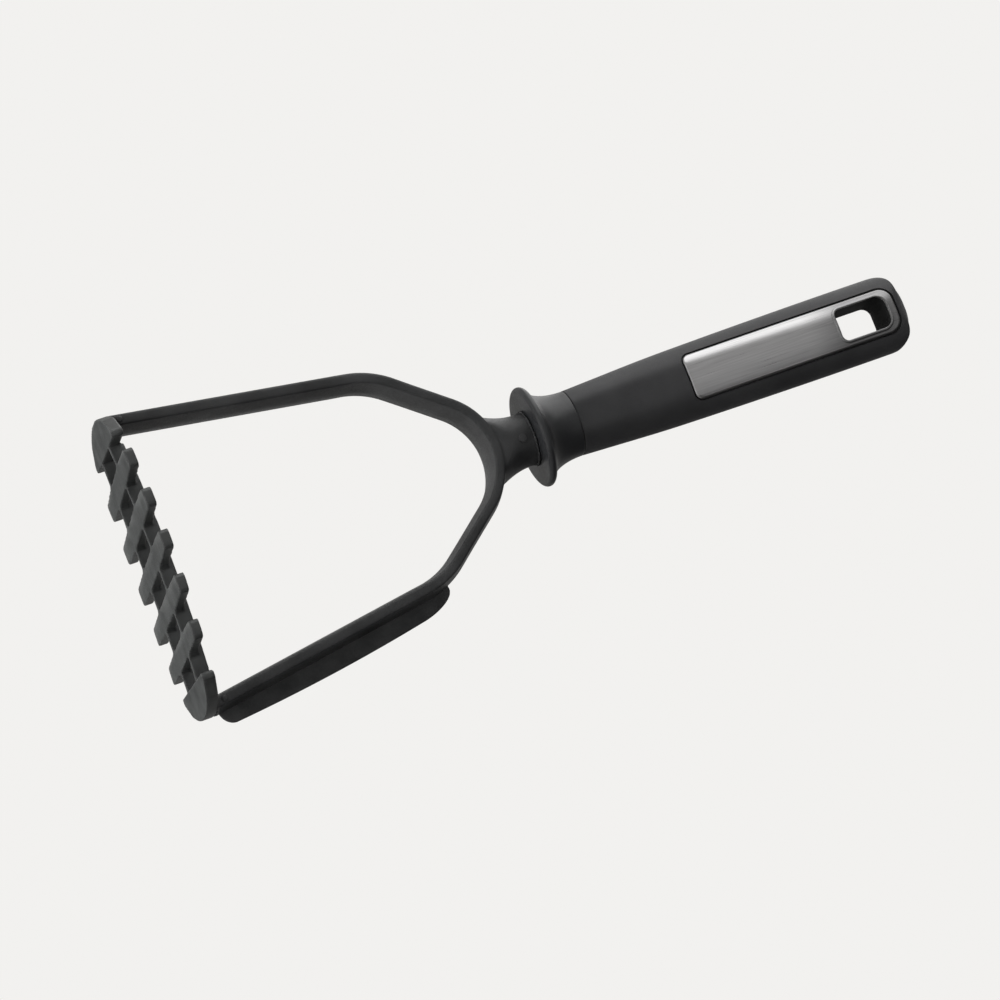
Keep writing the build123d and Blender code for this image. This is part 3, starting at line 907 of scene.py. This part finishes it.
def makeRail(side):
    # an oblong section carried from cap to cap along the rail's bow, with its foot on the arch
    x = np.linspace(-plate["reach"], plate["reach"], plate["railRows"])
    outer = railY(x)
    inner = outer - plate["railThickness"]
    y = side * np.stack([inner, outer, outer, inner], axis=1)
    z = archHeight(x)[:, None] + np.array([plate["railFoot"]] * 2 + [plate["railTop"]] * 2)
    return gridObject("rail", np.stack([np.repeat(axisX + x[:, None], 4, axis=1), y, z], axis=2))


def makePlate():
    # a merged copy of the frame's grid, which gives the caps, melted together with the new bars
    # and rails
    bm = bmesh.new()
    bm.from_mesh(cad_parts["mashing_plate"].data)
    bmesh.ops.remove_doubles(bm, verts=bm.verts, dist=plate["mergeGap"] * mm)
    mesh = bpy.data.meshes.new("grid")
    bm.to_mesh(mesh)
    bm.free()
    grid = bpy.data.objects.new("grid", mesh)
    bpy.context.scene.collection.objects.link(grid)
    bars = [makeBar(place) for place in plate["barPlaces"]]
    piece = joined("mashingGrid", [grid, *bars, makeRail(-1), makeRail(1)])
    moulded(piece, plate)
    fitted(piece, "mashing_plate")


makePlate()
print("stage: plate")


# Studio, in metres and watts. The floor is pale and takes the shadow from above, and it is clear
# from below, where the camera stands

studio = dict(
    floorColour=(0.86, 0.855, 0.84), floorReach=9.0, floorDrop=0.0002,
    floorRoughness=0.9, floorGloss=0.1, floorFade=(0.10, 0.55), floorGlow=0.35,
    backColour=(0.887, 0.879, 0.863), ambient=0.13,
    glossWay=(-0.80, 0.35, 0.45), glossRange=(-0.45, 0.55), glossDark=0.045, glossBright=0.52,
    lamps=(     # name, power, size and place
        ("key", 25, 2.0, (-1.45, -0.55, 0.70)),
        ("front", 9, 1.4, (0.95, -1.25, -0.60)),
        ("fill", 3.8, 1.8, (0.35, -1.6, 0.35)),
        ("under", 54, 1.2, (-0.25, -0.15, -1.35)),
        ("rim", 6, 1.2, (-0.9, 0.7, 1.1)),
    ),
)


def makeFloor():
    reach, drop = studio["floorReach"] / mm, -studio["floorDrop"] / mm
    corners = [(x * reach, y * reach, drop) for x, y in ((-1, -1), (1, -1), (1, 1), (-1, 1))]
    floor = toObject("floor", corners, [[0, 1, 2, 3]])
    made = bpy.data.materials.new("paleFloor")
    made.use_nodes = True
    tree = made.node_tree
    shader = tree.nodes["Principled BSDF"]
    shader.inputs["Base Color"].default_value = (*studio["floorColour"], 1)
    shader.inputs["Roughness"].default_value = studio["floorRoughness"]
    shader.inputs["Specular IOR Level"].default_value = studio["floorGloss"]
    ray = tree.nodes.new("ShaderNodeLightPath").outputs
    place = tree.nodes.new("ShaderNodeNewGeometry").outputs
    # to the camera the floor turns into the pale background with the distance from the masher
    away = addNode(tree, "ShaderNodeVectorMath", operation="LENGTH")
    tree.links.new(place["Position"], away.inputs[0])
    glowing = (studio["floorGlow"], 1)
    fade = moved(tree, away.outputs["Value"], studio["floorFade"], glowing, "SMOOTHSTEP")
    seen = mathOf(tree, "MULTIPLY", ray["Is Camera Ray"], fade)
    glow = addNode(tree, "ShaderNodeEmission", Strength=1.0)
    glow.inputs["Color"].default_value = (*studio["backColour"], 1)
    pale = shaderMix(tree, seen, shader.outputs[0], glow.outputs[0])
    # it is clear from below, and it holds back no lamp
    clear = tree.nodes.new("ShaderNodeBsdfTransparent")
    either = mathOf(tree, "MAXIMUM", place["Backfacing"], ray["Is Shadow Ray"])
    surface = shaderMix(tree, either, pale, clear.outputs[0])
    tree.links.new(surface, tree.nodes["Material Output"].inputs["Surface"])
    floor.data.materials.append(made)


def makeWorld():
    # plain ambient light; the background that the camera and clear things see is pale, and what
    # gloss sees runs from bright on the -X side to dark on the +X side
    world = bpy.data.worlds.new("studio")
    bpy.context.scene.world = world
    world.use_nodes = True
    tree = world.node_tree
    ray = tree.nodes.new("ShaderNodeLightPath").outputs
    along = addNode(tree, "ShaderNodeVectorMath", operation="DOT_PRODUCT")
    tree.links.new(tree.nodes.new("ShaderNodeTexCoord").outputs["Generated"], along.inputs[0])
    along.inputs[1].default_value = studio["glossWay"]
    shades = (studio["glossDark"], studio["glossBright"])
    ramp = moved(tree, along.outputs["Value"], studio["glossRange"], shades, "SMOOTHSTEP")
    glossy = numberMix(tree, ray["Is Glossy Ray"], studio["ambient"], ramp)
    seen = mathOf(tree, "MAXIMUM", ray["Is Camera Ray"], ray["Is Transmission Ray"])
    background = tree.nodes["Background"]
    background.inputs["Color"].default_value = (*studio["backColour"], 1)
    tree.links.new(numberMix(tree, seen, glossy, 1.0), background.inputs["Strength"])


def makeLamp(name, power, size, place, aim):
    data = bpy.data.lights.new(name, "AREA")
    data.shape = "SQUARE"
    data.size = size
    data.energy = power
    lamp = bpy.data.objects.new(name, data)
    lamp.location = place
    lamp.rotation_mode = "QUATERNION"
    lamp.rotation_quaternion = (Vector(aim) - Vector(place)).to_track_quat("-Z", "Y")
    bpy.context.scene.collection.objects.link(lamp)


makeFloor()
makeWorld()
for lamp in studio["lamps"]:
    makeLamp(*lamp, (cadLow + cadHigh) / 2)
print("stage: studio")


# Camera: low in front, rolled so that the handle points up to the right

shot = dict(
    aim=(0.01895, -0.0286, 0.1184), azimuth=7.672, elevation=-14.599, roll=70.614,
    distance=1.2381, focalPixels=3597.2, framePixels=1000, sensor=36.0, clip=(0.05, 20),
)


def makeCamera():
    data = bpy.data.cameras.new("photoCamera")
    data.sensor_width = shot["sensor"]
    data.lens = shot["sensor"] * shot["focalPixels"] / shot["framePixels"]
    data.clip_start, data.clip_end = shot["clip"]
    camera = bpy.data.objects.new("photoCamera", data)
    azimuth, elevation = radians(shot["azimuth"]), radians(shot["elevation"])
    back = Vector((sin(azimuth) * cos(elevation), -cos(azimuth) * cos(elevation), sin(elevation)))
    level = (-back).to_track_quat("-Z", "Y").to_matrix()
    turned = level @ Matrix.Rotation(radians(shot["roll"]), 3, "Z")
    camera.rotation_mode = "QUATERNION"
    camera.rotation_quaternion = turned.to_quaternion()
    camera.location = Vector(shot["aim"]) + back * shot["distance"]
    bpy.context.scene.collection.objects.link(camera)
    bpy.context.scene.camera = camera


makeCamera()
bpy.context.scene.view_settings.view_transform = "Standard"
print("stage: camera")
